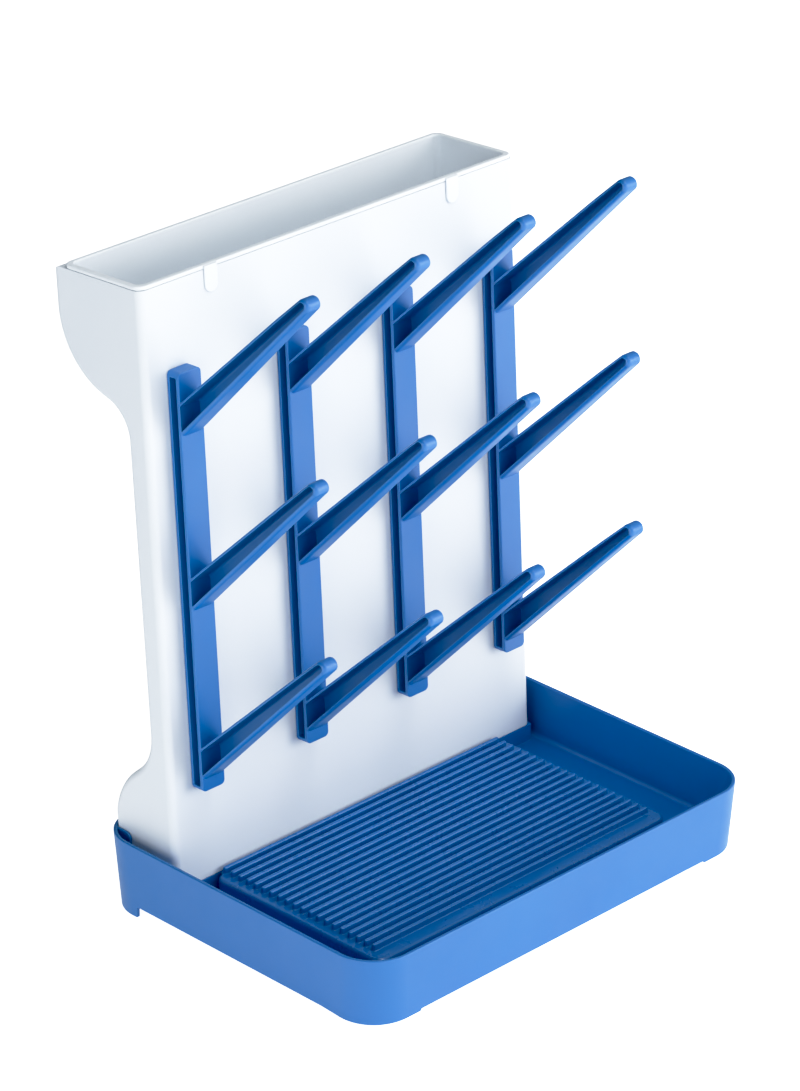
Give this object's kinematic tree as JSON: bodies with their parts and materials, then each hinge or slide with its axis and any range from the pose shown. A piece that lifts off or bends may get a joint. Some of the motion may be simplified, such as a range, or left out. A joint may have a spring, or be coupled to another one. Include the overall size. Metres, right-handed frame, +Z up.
{
  "type": "bottle drying rack",
  "caption": "Upright bottle drying rack: drip tray with lift-out ribbed grid, white tower with open storage bin, and upward-slanting drying pegs on push-fit rails.",
  "frame": {"origin": "on the table, under the middle of the rack's overall width and depth", "axes": "+X to the right seen from the front, -Y towards the front where the pegs point, +Z up"},
  "size_m": [0.3192, 0.2562, 0.416],
  "materials": {
    "tray_blue": "satin moulded polypropylene",
    "grid_blue": "satin moulded polypropylene",
    "rail_blue": "satin moulded polypropylene",
    "tower_white": "satin moulded plastic, faintly blue white",
    "pad_rubber": "matte anti-slip rubber",
    "screw_steel": "plated steel"
  },
  "bodies": {
    "tray": {"tray": "tray_blue", "foot_pad_front_left": "pad_rubber", "foot_pad_front_right": "pad_rubber", "foot_pad_back_left": "pad_rubber", "foot_pad_back_right": "pad_rubber"},
    "grid": {"drain_grid": "grid_blue"},
    "tower": {"tower_shell": "tower_white", "back_cover": "tower_white", "cover_screw_1": "screw_steel", "cover_screw_2": "screw_steel", "cover_screw_3": "screw_steel", "cover_screw_4": "screw_steel", "cover_screw_5": "screw_steel", "cover_screw_6": "screw_steel"},
    "bin": {"storage_bin": "tower_white"},
    "rail_1": {"peg_rail_1": "rail_blue"},
    "rail_2": {"peg_rail_2": "rail_blue"},
    "rail_3": {"peg_rail_3": "rail_blue"},
    "rail_4": {"peg_rail_4": "rail_blue"}
  },
  "joints": [
    {"name": "grid_lift", "type": "slide", "parent": "tray", "child": "grid", "axis": [0, -0.0297, 0.9996], "range_m": [0, 0.04]},
    {"name": "tower_lift", "type": "slide", "parent": "tray", "child": "tower", "axis": [0, 0.0236, 0.9997], "range_m": [0, 0.04]},
    {"name": "bin_lift", "type": "slide", "parent": "tower", "child": "bin", "axis": [0, 0.0236, 0.9997], "range_m": [0, 0.08]},
    {"name": "rail_1_release", "type": "slide", "parent": "tower", "child": "rail_1", "axis": [0, -0.9997, 0.0236], "range_m": [0, 0.012]},
    {"name": "rail_2_release", "type": "slide", "parent": "tower", "child": "rail_2", "axis": [0, -0.9997, 0.0236], "range_m": [0, 0.012]},
    {"name": "rail_3_release", "type": "slide", "parent": "tower", "child": "rail_3", "axis": [0, -0.9997, 0.0236], "range_m": [0, 0.012]},
    {"name": "rail_4_release", "type": "slide", "parent": "tower", "child": "rail_4", "axis": [0, -0.9997, 0.0236], "range_m": [0, 0.012]}
  ]
}
